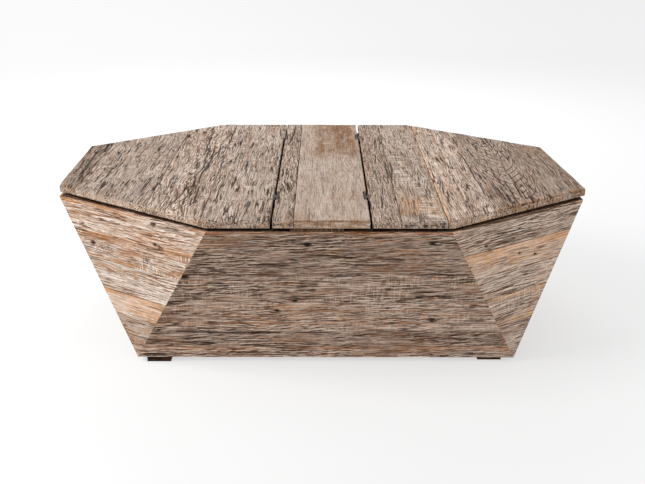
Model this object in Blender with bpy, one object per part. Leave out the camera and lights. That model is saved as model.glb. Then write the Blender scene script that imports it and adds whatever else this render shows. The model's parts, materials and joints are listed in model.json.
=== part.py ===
"""A low storage chest of reclaimed planks: eight sloping walls, a fixed centre panel and two hinged lids.

The frame: +Z up, origin on the floor under the middle of the chest, the length along X, the front at -Y.
"""

import math

import bmesh
import bpy
from mathutils import Matrix, Vector

# Driving dimensions, in metres.
HEIGHT = 0.405
LID_THICKNESS = 0.019
LID_GAP = 0.009
WALL_THICKNESS = 0.022
FLOOR_THICKNESS = 0.018
FOOT_HEIGHT = 0.012
FOOT_SIDE = 0.060
GAP = 0.0003
CUT_MERGE = 1e-7

# The top outline, counterclockwise from the left end of the front edge. It has eight sides and was
# cut by hand, so its corners aren't quite symmetrical.
TOP_CORNERS = (
    (-0.258, -0.455),
    (0.311, -0.455),
    (0.680, -0.2155),
    (0.660, 0.1805),
    (0.285, 0.455),
    (-0.312, 0.455),
    (-0.680, 0.1850),
    (-0.667, -0.1900),
)

# The rim of the walls under it, in the same order. It stands a little proud at the two front facets.
RIM_CORNERS = (
    (-0.257, -0.4545),
    (0.309, -0.4545),
    (0.676, -0.2225),
    (0.659, 0.1800),
    (0.2845, 0.4540),
    (-0.3115, 0.4540),
    (-0.679, 0.1845),
    (-0.6675, -0.2000),
)

# The base has four corners, and each corner facet runs down to one of them.
BASE_LEFT = -0.455
BASE_RIGHT = 0.494
BASE_HALF_DEPTH = 0.3875

# Where each wall is divided into planks, as fractions of the way from its rim down to its base.
FRONT_SEAMS = (0.326, 0.535, 0.778, 0.911)
FRONT_LEFT_SEAMS = (0.198, 0.370, 0.572, 0.722)
FRONT_RIGHT_SEAMS = (0.184, 0.355, 0.523, 0.733)
HIDDEN_SEAMS = (0.46,)

# Where the top is divided into boards, which all run from front to back.
PANEL_LEFT = -0.105
PANEL_RIGHT = 0.1205
HINGE_SEAM = 0.005
LEFT_LID_SEAMS = (-0.619, -0.414, -0.270)
PANEL_SEAM = -0.056
RIGHT_LID_SEAMS = (0.192, 0.299, 0.357, 0.421, 0.580)

# Strips under the top: battens hold each lid's boards together, cleats carry the centre panel.
BATTEN_WIDTH = 0.045
BATTEN_Y = (-0.135, 0.135)
BATTEN_INSET = 0.012
LEFT_BATTEN_END = -0.660
RIGHT_BATTEN_END = 0.650
WIDE_CLEAT = (-0.0320, 0.0600)
NARROW_CLEAT = (-0.0640, -0.0325)
CLEAT_INSET = 0.002

# Butt hinges, let into the edges of the centre panel.
HINGE_Y = (-0.272, 0.300)
HINGE_LENGTH = 0.060
REBATE_LENGTH = 0.066
REBATE_DEPTH = 0.009
AXIS_IN = 0.004
AXIS_DOWN = 0.0045
KNUCKLE_R = 0.003
BORE_R = 0.0016
PIN_R = 0.0015
PIN_HEAD_R = 0.0026
PIN_HEAD = 0.0015
LEAF_THICKNESS = 0.0018
LEAF_DROP = 0.0135
KNUCKLE_CLEARANCE = 0.0004
ROUND_SIDES = 24
SHARP_ANGLE = math.radians(35)

# Feet, measured to the middle of each block.
FEET = {
    "front_left_foot": (-0.402, -0.358),
    "front_right_foot": (0.435, -0.346),
    "back_left_foot": (-0.430, 0.350),
    "back_right_foot": (0.413, 0.350),
}

RIM_Z = HEIGHT - LID_THICKNESS - LID_GAP
LID_Z = HEIGHT - LID_THICKNESS
AXIS_Z = HEIGHT - AXIS_DOWN
FAR = 2.0


def clear_scene():
    for obj in list(bpy.data.objects):
        bpy.data.objects.remove(obj, do_unlink=True)


def material(name, color, roughness=0.8, metallic=0.0):
    made = bpy.data.materials.new(name)
    made.use_nodes = True
    shader = made.node_tree.nodes["Principled BSDF"]
    shader.inputs["Base Color"].default_value = (*color, 1.0)
    shader.inputs["Roughness"].default_value = roughness
    shader.inputs["Metallic"].default_value = metallic
    made.diffuse_color = (*color, 1.0)
    return made


def place(name, bm, finish, parent=None):
    """Makes an object of the mesh, with its origin in the middle of its box."""
    low = Vector([min(v.co[i] for v in bm.verts) for i in range(3)])
    high = Vector([max(v.co[i] for v in bm.verts) for i in range(3)])
    middle = (low + high) / 2
    bmesh.ops.translate(bm, vec=-middle, verts=bm.verts)
    bmesh.ops.recalc_face_normals(bm, faces=bm.faces)
    mesh = bpy.data.meshes.new(name)
    bm.to_mesh(mesh)
    bm.free()
    return place_mesh(name, mesh, finish, middle, parent)


def place_mesh(name, mesh, finish, location, parent=None):
    obj = bpy.data.objects.new(name, mesh)
    bpy.context.scene.collection.objects.link(obj)
    obj.data.materials.clear()
    obj.data.materials.append(finish)
    obj.location = location
    if parent:
        obj.parent = parent
        obj.location = Vector(location) - parent.location
    return obj


def joint_empty(name, location):
    empty = bpy.data.objects.new(name, None)
    bpy.context.scene.collection.objects.link(empty)
    empty.location = location
    return empty


# Flat outlines, as lists of (x, y) in counterclockwise order.


def keep_side(outline, x_limit, side):
    """The part of a convex outline where side * x is less than side * x_limit."""
    kept = []
    for (ax, ay), (bx, by) in zip(outline, outline[1:] + outline[:1]):
        a_in = side * (ax - x_limit) <= 0
        b_in = side * (bx - x_limit) <= 0
        if a_in:
            kept.append((ax, ay))
        if a_in != b_in:
            share = (x_limit - ax) / (bx - ax)
            kept.append((x_limit, ay + share * (by - ay)))
    return kept


def strip_of_top(low, high):
    return keep_side(keep_side(list(TOP_CORNERS), high, 1), low, -1)


def with_rebates(outline, edge_x, inward):
    """The outline with a hinge rebate cut into its straight side at edge_x, once for each hinge."""
    cut = []
    for (ax, ay), (bx, by) in zip(outline, outline[1:] + outline[:1]):
        cut.append((ax, ay))
        if abs(ax - edge_x) > GAP or abs(bx - edge_x) > GAP:
            continue
        way = math.copysign(1, by - ay)
        for y in sorted(HINGE_Y, reverse=way < 0):
            near = y - way * REBATE_LENGTH / 2
            far = y + way * REBATE_LENGTH / 2
            cut += [(ax, near), (ax + inward, near), (ax + inward, far), (ax, far)]
    return cut


def prism(outline, bottom, top):
    bm = bmesh.new()
    face = bm.faces.new([bm.verts.new((x, y, bottom)) for x, y in outline])
    raised = bmesh.ops.extrude_face_region(bm, geom=[face])["geom"]
    moved = [part for part in raised if isinstance(part, bmesh.types.BMVert)]
    bmesh.ops.translate(bm, vec=(0, 0, top - bottom), verts=moved)
    return bm


def box(low, high):
    corners = [(low[0], low[1]), (high[0], low[1]), (high[0], high[1]), (low[0], high[1])]
    return prism(corners, low[2], high[2])


# Walls. Each is a slab between an outer and an inner plane. A point of the shell belongs to the wall
# whose outer plane it is nearest, which mitres each wall to its neighbours.


class Wall:
    """One sloping wall, from its rim edge (two top corners) down to its base edge or corner."""

    def __init__(self, name, start, end, base, seams):
        self.name = name
        self.seams = seams
        along = Vector((end[0] - start[0], end[1] - start[1], 0)).normalized()
        out = Vector((along.y, -along.x, 0))
        rim = Vector((start[0], start[1], RIM_Z))
        foot = Vector((base[0], base[1], FOOT_HEIGHT))
        self.down = (foot - rim) - along * (foot - rim).dot(along)
        self.length = self.down.length
        self.down.normalize()
        self.rim = rim
        self.normal = along.cross(self.down)
        if self.normal.dot(out) < 0:
            self.normal.negate()


def back_base_corner(front_x, rim_front, rim_back):
    """Where an end wall's base edge, which is parallel to its rim, reaches the back of the base."""
    share = 2 * BASE_HALF_DEPTH / (rim_back[1] - rim_front[1])
    return front_x + share * (rim_back[0] - rim_front[0]), BASE_HALF_DEPTH


def walls():
    top = RIM_CORNERS
    front_left = (BASE_LEFT, -BASE_HALF_DEPTH)
    front_right = (BASE_RIGHT, -BASE_HALF_DEPTH)
    back_right = back_base_corner(BASE_RIGHT, top[2], top[3])
    back_left = back_base_corner(BASE_LEFT, top[7], top[6])
    rows = [
        ("front", front_left, FRONT_SEAMS),
        ("front_right", front_right, FRONT_RIGHT_SEAMS),
        ("right", front_right, HIDDEN_SEAMS),
        ("back_right", back_right, HIDDEN_SEAMS),
        ("back", back_right, HIDDEN_SEAMS),
        ("back_left", back_left, HIDDEN_SEAMS),
        ("left", back_left, HIDDEN_SEAMS),
        ("front_left", front_left, FRONT_LEFT_SEAMS),
    ]
    made = []
    for i, (name, base, seams) in enumerate(rows):
        made.append(Wall(name, top[i], top[(i + 1) % len(top)], base, seams))
    return made


def cut_away(bm, point, normal):
    """Removes what lies on the normal's side of a plane, and closes the cut."""
    geometry = list(bm.verts) + list(bm.edges) + list(bm.faces)
    done = bmesh.ops.bisect_plane(
        bm, geom=geometry, dist=CUT_MERGE, plane_co=point, plane_no=normal, clear_outer=True
    )
    rim = [part for part in done["geom_cut"] if isinstance(part, bmesh.types.BMEdge)]
    if rim:
        bmesh.ops.contextual_create(bm, geom=rim)


def shell_block(bottom, top):
    """A block that reaches past the outline all round."""
    return box((-FAR, -FAR, bottom), (FAR, FAR, top))


def wall_plank(wall, others, start, end):
    """The stretch of one wall between two fractions of its way down."""
    bm = shell_block(FOOT_HEIGHT, RIM_Z)
    cut_away(bm, wall.rim, wall.normal)
    cut_away(bm, wall.rim - wall.normal * WALL_THICKNESS, -wall.normal)
    for other in others:
        # Both planes stand at the same height over a point of the mitre.
        mitre = (other.normal - wall.normal).normalized()
        offset = other.rim.dot(other.normal) - wall.rim.dot(wall.normal)
        on_mitre = mitre * offset / (other.normal - wall.normal).length
        cut_away(bm, on_mitre - mitre * GAP / 2, mitre)
    if start > 0:
        seam = wall.rim + wall.down * (wall.length * start + GAP / 2)
        cut_away(bm, seam, -wall.down)
    if end < 1:
        seam = wall.rim + wall.down * (wall.length * end - GAP / 2)
        cut_away(bm, seam, wall.down)
    return bm


def make_walls(finishes):
    shell = walls()
    for wall in shell:
        others = [other for other in shell if other is not wall]
        bounds = [0.0, *wall.seams, 1.0]
        for i in range(len(bounds) - 1):
            bm = wall_plank(wall, others, bounds[i], bounds[i + 1])
            place(f"{wall.name}_plank_{i + 1}", bm, finishes.get(wall.name, finishes["other"]))
    return shell


def make_floor(shell, finish):
    bm = shell_block(FOOT_HEIGHT, FOOT_HEIGHT + FLOOR_THICKNESS)
    for wall in shell:
        cut_away(bm, wall.rim - wall.normal * (WALL_THICKNESS + GAP), wall.normal)
    place("floor_panel", bm, finish)


def make_feet(finish):
    half = FOOT_SIDE / 2
    for name, (x, y) in FEET.items():
        bm = box((x - half, y - half, 0), (x + half, y + half, FOOT_HEIGHT - GAP))
        place(name, bm, finish)


# The top: boards that run from front to back.


def make_boards(name, seams, outer_edges, parent, finish):
    """Boards between two outer edges, with a gap at each seam between them."""
    starts = [outer_edges[0], *[seam + GAP / 2 for seam in seams]]
    ends = [*[seam - GAP / 2 for seam in seams], outer_edges[1]]
    for i in range(len(starts)):
        outline = strip_of_top(starts[i], ends[i])
        place(f"{name}_{i + 1}", prism(outline, LID_Z, HEIGHT), finish, parent)


def make_lid(side, seams, outer_edges, batten_ends, parent, finishes):
    """One hinged lid: its boards, from left to right, and two battens that rest on the end wall."""
    make_boards(f"{side}_lid_board", seams, outer_edges, parent, finishes["top"])
    for depth_name, y in zip(("front", "back"), BATTEN_Y):
        low = (batten_ends[0], y - BATTEN_WIDTH / 2, RIM_Z + GAP)
        high = (batten_ends[1], y + BATTEN_WIDTH / 2, LID_Z - GAP)
        place(f"{side}_lid_{depth_name}_batten", box(low, high), finishes["batten"], parent)


def make_lids(empties, finishes):
    outline = strip_of_top(-FAR, FAR)
    left_end = min(x for x, y in outline)
    right_end = max(x for x, y in outline)
    inner = PANEL_LEFT - HINGE_SEAM
    battens = (LEFT_BATTEN_END, inner - BATTEN_INSET)
    make_lid("left", LEFT_LID_SEAMS, (left_end, inner), battens, empties["left"], finishes)
    inner = PANEL_RIGHT + HINGE_SEAM
    battens = (inner + BATTEN_INSET, RIGHT_BATTEN_END)
    make_lid("right", RIGHT_LID_SEAMS, (inner, right_end), battens, empties["right"], finishes)


def make_centre_panel(finishes):
    narrow = strip_of_top(PANEL_LEFT, PANEL_SEAM - GAP / 2)
    wide = strip_of_top(PANEL_SEAM + GAP / 2, PANEL_RIGHT)
    narrow = with_rebates(narrow, PANEL_LEFT, REBATE_DEPTH)
    wide = with_rebates(wide, PANEL_RIGHT, -REBATE_DEPTH)
    place("centre_board_narrow", prism(narrow, LID_Z, HEIGHT), finishes["top"])
    place("centre_board_wide", prism(wide, LID_Z, HEIGHT), finishes["top"])
    end = TOP_CORNERS[4][1] - CLEAT_INSET
    for name, (low_x, high_x) in (("wide", WIDE_CLEAT), ("narrow", NARROW_CLEAT)):
        bm = box((low_x, -end, RIM_Z + GAP), (high_x, end, LID_Z - GAP))
        place(f"centre_cleat_{name}", bm, finishes["batten"])


# Hinges, drawn for the left lid with the joint's axis along Y through the origin, the lid at -X.


def rod(radius, start, end):
    bm = bmesh.new()
    turned = Matrix.Rotation(math.pi / 2, 4, "X")
    middle = Matrix.Translation((0, (start + end) / 2, 0))
    bmesh.ops.create_cone(
        bm,
        cap_ends=True,
        segments=ROUND_SIDES,
        radius1=radius,
        radius2=radius,
        depth=end - start,
        matrix=middle @ turned,
    )
    return bm


def helper(bm):
    bmesh.ops.recalc_face_normals(bm, faces=bm.faces)
    mesh = bpy.data.meshes.new("helper")
    bm.to_mesh(mesh)
    bm.free()
    obj = bpy.data.objects.new("helper", mesh)
    bpy.context.scene.collection.objects.link(obj)
    obj.hide_render = True
    obj.display_type = "WIRE"
    return obj


def combined(start, joined, removed):
    """One mesh: the first shape with the joined ones added and the removed ones taken away."""
    body = helper(start)
    others = []
    for operation, shapes in (("UNION", joined), ("DIFFERENCE", removed)):
        for shape in shapes:
            other = helper(shape)
            others.append(other)
            modifier = body.modifiers.new(operation, "BOOLEAN")
            modifier.operation = operation
            modifier.solver = "EXACT"
            modifier.object = other
    bpy.context.view_layer.update()
    graph = bpy.context.evaluated_depsgraph_get()
    mesh = bpy.data.meshes.new_from_object(body.evaluated_get(graph))
    for obj in [body, *others]:
        bpy.data.objects.remove(obj, do_unlink=True)
    mesh.shade_smooth()
    mesh.set_sharp_from_angle(angle=SHARP_ANGLE)
    return mesh


def knuckle_spans():
    """Where the fixed leaf's two outer knuckles and the moving leaf's middle one lie along the axis."""
    end = HINGE_LENGTH / 2 - GAP
    third = HINGE_LENGTH / 6
    fixed = [(-end, -third - GAP / 2), (third + GAP / 2, end)]
    moving = [(-third + GAP / 2, third - GAP / 2)]
    return fixed, moving


def fixed_leaf_mesh():
    fixed, moving = knuckle_spans()
    end = HINGE_LENGTH / 2 - GAP
    inner = KNUCKLE_R - KNUCKLE_CLEARANCE
    plate = box((inner, -end, -LEAF_DROP), (inner + LEAF_THICKNESS, end, GAP))
    room = [rod(KNUCKLE_R + KNUCKLE_CLEARANCE, low - GAP, high + GAP) for low, high in moving]
    knuckles = [rod(KNUCKLE_R, low, high) for low, high in fixed]
    return combined(plate, knuckles, [rod(BORE_R, -HINGE_LENGTH, HINGE_LENGTH), *room])


def moving_leaf_mesh():
    moving = knuckle_spans()[1]
    end = HINGE_LENGTH / 2 - GAP
    outer = GAP - AXIS_IN - HINGE_SEAM
    plate = box((outer, -end, -LEAF_DROP), (outer + LEAF_THICKNESS, end, LEAF_THICKNESS / 2))
    tongue_start = outer + LEAF_THICKNESS / 2
    joined = []
    for low, high in moving:
        tongue = box((tongue_start, low, -LEAF_THICKNESS / 2), (-BORE_R / 2, high, LEAF_THICKNESS / 2))
        joined += [tongue, rod(KNUCKLE_R, low, high)]
    return combined(plate, joined, [rod(BORE_R, -HINGE_LENGTH, HINGE_LENGTH)])


def pin_mesh():
    """A pin with a low head at each end."""
    half = HINGE_LENGTH / 2
    heads = [rod(PIN_HEAD_R, half, half + PIN_HEAD), rod(PIN_HEAD_R, -half - PIN_HEAD, -half)]
    shaft_end = half + PIN_HEAD / 2
    return combined(rod(PIN_R, -shaft_end, shaft_end), heads, [])


def make_hinges(empties, finish):
    fixed, moving, pin = fixed_leaf_mesh(), moving_leaf_mesh(), pin_mesh()
    for side, turn in (("left", 0), ("right", math.pi)):
        for depth_name, y in zip(("front", "back"), HINGE_Y):
            name = f"{side}_{depth_name}_hinge"
            spot = (empties[side].location.x, y, AXIS_Z)
            pieces = [
                place_mesh(f"{name}_fixed_leaf", fixed, finish, spot),
                place_mesh(f"{name}_moving_leaf", moving, finish, spot, empties[side]),
                place_mesh(f"{name}_pin", pin, finish, spot),
            ]
            for piece in pieces:
                piece.rotation_euler = (0, 0, turn)


def main():
    clear_scene()
    finishes = {
        "top": material("weathered_top", (0.42, 0.33, 0.27)),
        "front": material("brown_wall", (0.26, 0.18, 0.135)),
        "front_left": material("pale_facet", (0.58, 0.45, 0.36)),
        "front_right": material("tan_facet", (0.38, 0.29, 0.23)),
        "other": material("grey_wall", (0.36, 0.27, 0.21)),
        "batten": material("brown_strip", (0.20, 0.12, 0.07)),
        "floor": material("floor_wood", (0.30, 0.20, 0.13)),
        "foot": material("dark_foot", (0.045, 0.02, 0.012)),
    }
    steel = material("old_steel", (0.06, 0.05, 0.045), roughness=0.5, metallic=1.0)
    empties = {
        "left": joint_empty("left_lid_axis", (PANEL_LEFT + AXIS_IN, 0, AXIS_Z)),
        "right": joint_empty("right_lid_axis", (PANEL_RIGHT - AXIS_IN, 0, AXIS_Z)),
    }
    shell = make_walls(finishes)
    make_floor(shell, finishes["floor"])
    make_feet(finishes["foot"])
    make_centre_panel(finishes)
    make_lids(empties, finishes)
    make_hinges(empties, steel)


main()
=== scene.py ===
"""The looks of a low storage chest of reclaimed planks: every board rebuilt with relief, wear and grain.

Each board is a dense mesh laid out from its CAD node. Its own axes are a (along the grain), b (across
it) and n (out of the seen face), and its object is turned so that object coordinates are (a, b, n).
Noise sizes are pairs in metres: the length of a cell along the grain, and its width across it.
"""

import json
import math
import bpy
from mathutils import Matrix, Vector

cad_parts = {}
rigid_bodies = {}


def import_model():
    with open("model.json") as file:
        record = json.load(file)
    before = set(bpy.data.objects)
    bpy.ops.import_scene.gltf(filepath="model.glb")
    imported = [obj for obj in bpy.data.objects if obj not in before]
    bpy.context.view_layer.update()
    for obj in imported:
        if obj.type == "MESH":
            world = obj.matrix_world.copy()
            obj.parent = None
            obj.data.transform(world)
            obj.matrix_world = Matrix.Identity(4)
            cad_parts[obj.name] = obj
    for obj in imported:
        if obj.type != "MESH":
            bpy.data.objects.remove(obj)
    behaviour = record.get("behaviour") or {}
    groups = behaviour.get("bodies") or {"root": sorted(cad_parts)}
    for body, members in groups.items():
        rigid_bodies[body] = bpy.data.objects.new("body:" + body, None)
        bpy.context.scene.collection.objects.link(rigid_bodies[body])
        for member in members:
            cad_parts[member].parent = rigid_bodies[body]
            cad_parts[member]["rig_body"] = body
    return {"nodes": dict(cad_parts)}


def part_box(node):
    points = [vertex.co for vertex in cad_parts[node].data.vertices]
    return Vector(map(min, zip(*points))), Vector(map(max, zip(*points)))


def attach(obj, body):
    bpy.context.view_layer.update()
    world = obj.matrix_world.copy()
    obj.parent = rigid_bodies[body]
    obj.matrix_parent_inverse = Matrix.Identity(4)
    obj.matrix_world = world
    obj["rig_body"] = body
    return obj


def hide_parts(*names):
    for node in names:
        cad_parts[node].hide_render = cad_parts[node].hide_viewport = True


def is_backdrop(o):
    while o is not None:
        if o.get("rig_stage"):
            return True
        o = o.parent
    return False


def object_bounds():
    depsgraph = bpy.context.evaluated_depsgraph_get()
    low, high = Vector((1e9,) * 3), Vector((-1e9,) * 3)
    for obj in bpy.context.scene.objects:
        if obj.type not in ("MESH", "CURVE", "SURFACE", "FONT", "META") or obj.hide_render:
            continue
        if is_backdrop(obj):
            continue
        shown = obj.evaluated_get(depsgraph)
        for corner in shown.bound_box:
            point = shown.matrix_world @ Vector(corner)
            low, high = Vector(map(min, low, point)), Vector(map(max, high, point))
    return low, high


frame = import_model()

import zlib

import bpy
import numpy as np
from mathutils import Euler, Matrix, Vector

CAD_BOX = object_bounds()
MM = 0.001


def seed_of(name):
    """A whole number that belongs to a name."""
    return zlib.crc32(name.encode()) % 100000


def add_object(name, data):
    obj = bpy.data.objects.new(name, data)
    bpy.context.scene.collection.objects.link(obj)
    return obj


# Noise that depends only on place and seed.


def lattice(ix, iy, seed):
    """A number from 0 to 1 for each whole-numbered point."""
    h = (ix * 374761393 + iy * 668265263 + seed * 1442695041) & 0xFFFFFFFF
    h = ((h ^ (h >> 13)) * 1274126177) & 0xFFFFFFFF
    h = ((h ^ (h >> 16)) * 2246822519) & 0xFFFFFFFF
    return ((h ^ (h >> 15)) & 0xFFFFFF) / 0xFFFFFF


def noise(x, y, seed):
    """Smooth noise from 0 to 1, one cell per unit."""
    x, y = np.broadcast_arrays(np.asarray(x, float), np.asarray(y, float))
    ix, iy = np.floor(x).astype(np.int64), np.floor(y).astype(np.int64)
    fx, fy = x - ix, y - iy
    fx, fy = fx * fx * (3 - 2 * fx), fy * fy * (3 - 2 * fy)
    low = lattice(ix, iy, seed) * (1 - fx) + lattice(ix + 1, iy, seed) * fx
    high = lattice(ix, iy + 1, seed) * (1 - fx) + lattice(ix + 1, iy + 1, seed) * fx
    return low * (1 - fy) + high * fy


def layered(x, y, seed, layers=3):
    """Noise with finer layers added, each half as strong. One layer is plain noise."""
    total, weight = 0.0, 0.0
    for k in range(layers):
        total = total + noise(x * 2**k, y * 2**k, seed + 17 * k) / 2**k
        weight += 1 / 2**k
    return total / weight


def smooth(low, high, x):
    """0 at low and 1 at high, with a soft start and end. It falls where low is above high."""
    t = np.clip((x - low) / (high - low), 0, 1)
    return t * t * (3 - 2 * t)


# Outlines of a board's two faces, read from its CAD node.


def convex_outline(points):
    """The convex outline of points in a plane, counterclockwise."""
    points = sorted({(round(float(a), 6), round(float(b), 6)) for a, b in points})

    def chain(row):
        kept = []
        for p in row:
            while len(kept) > 1:
                (ax, ay), (bx, by) = kept[-2], kept[-1]
                if (bx - ax) * (p[1] - ay) - (by - ay) * (p[0] - ax) > 1e-10:
                    break
                kept.pop()
            kept.append(p)
        return kept[:-1]

    return np.array(chain(points) + chain(points[::-1]))


def extent_at(outline, b):
    """Where the line at b enters and leaves an outline, for each b."""
    b = np.atleast_1d(b)
    low, high = np.full(len(b), np.inf), np.full(len(b), -np.inf)
    for (a1, b1), (a2, b2) in zip(outline, np.roll(outline, -1, axis=0)):
        if abs(b2 - b1) < 1e-7:
            hit = np.abs(b - b1) < 1e-6
            low[hit] = np.minimum(low[hit], min(a1, a2))
            high[hit] = np.maximum(high[hit], max(a1, a2))
            continue
        share = (b - b1) / (b2 - b1)
        hit = (share >= -1e-6) & (share <= 1 + 1e-6)
        a = a1 + share * (a2 - a1)
        low[hit] = np.minimum(low[hit], a[hit])
        high[hit] = np.maximum(high[hit], a[hit])
    return low, high


def edge_distance(outline, a, b):
    """How far inside an outline each point lies."""
    least = np.full(np.shape(a), np.inf)
    for (a1, b1), (a2, b2) in zip(outline, np.roll(outline, -1, axis=0)):
        length = math.hypot(a2 - a1, b2 - b1)
        if length > 1e-5:
            gap = ((b - b1) * (a2 - a1) - (a - a1) * (b2 - b1)) / length
            least = np.minimum(least, gap)
    return np.maximum(least, 0)


def outward_normal(node):
    """The direction of a wall plank's largest face that looks outwards."""
    mesh = frame["nodes"][node].data
    middle = sum((v.co for v in mesh.vertices), Vector()) / len(mesh.vertices)
    areas = {}
    for face in mesh.polygons:
        key = tuple(round(c, 2) for c in face.normal)
        size, total = areas.get(key, (0.0, Vector()))
        areas[key] = (size + face.area, total + face.normal * face.area)
    outside = [row for row in areas.values() if row[1].x * middle.x + row[1].y * middle.y > 0]
    return max(outside, key=lambda row: row[0])[1].normalized()


# How far from an edge the mesh has its close lines, which round it off.
EDGE_LINES = [0.0, 0.4 * MM, 1.0 * MM, 2.0 * MM, 3.4 * MM, 5.4 * MM]


def spread(length, step):
    """Places from 0 to length: close together near both ends, then a step apart."""
    near = [d for d in EDGE_LINES if d < length * 0.3]
    start = near[-1]
    count = max(1, round((length - 2 * start) / step))
    middle = np.linspace(start, length - start, count + 1)
    return np.concatenate([near[:-1], middle, [length - d for d in near[:-1]][::-1]])


FACE_TOLERANCE = 0.05 * MM
LEAST_SLOPE = 0.1
CRACK_REACH = 12 * MM
CRACK_WAVES = (0.030, 0.009)
CHOSEN_CRACK_DEPTH = 1.8
HOLE_DEPTH = 5 * MM
KNOT_DEPTH = 0.8 * MM
RELIEF_FADE = 3 * MM
WOBBLE_REACH = 12 * MM

# Noise sizes of the carved relief.
SIDE_WAVE = 0.09
END_WAVE = 0.04
CHIPS = (0.03, 0.03)
WORN_EDGE = (0.05, 0.05)
GRAIN_BEND = (0.22, 0.10)
FINE_GRAIN = (0.050, 0.0030)
COARSE_GRAIN = (0.110, 0.0075)
RIDGED_AREA = (0.16, 0.05)
SWELLING = (0.18, 0.06)
SAWN_AREA = (0.12, 0.08)
SAW_STROKE = (0.0045, 0.05)
SAW_SKEW = (0.05, 0.02)
UNDER_STROKE = (0.006, 0.08)
UNDER_GRAIN = (0.06, 0.006)
RAGGED_EDGE = (0.04, 0.008)
WORN_DRIFT = (0.14, 0.028)
KNOT_BEND = (0.012, 0.006)
KNOT_BREAKS = (0.01, 0.01)

# Lengths of the rough and coloured stretches round the sides.
SIDE_RAGS = 0.012
SIDE_TAN = 0.04
SIDE_PALE = 0.03
SIDE_DARK = 0.005


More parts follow.
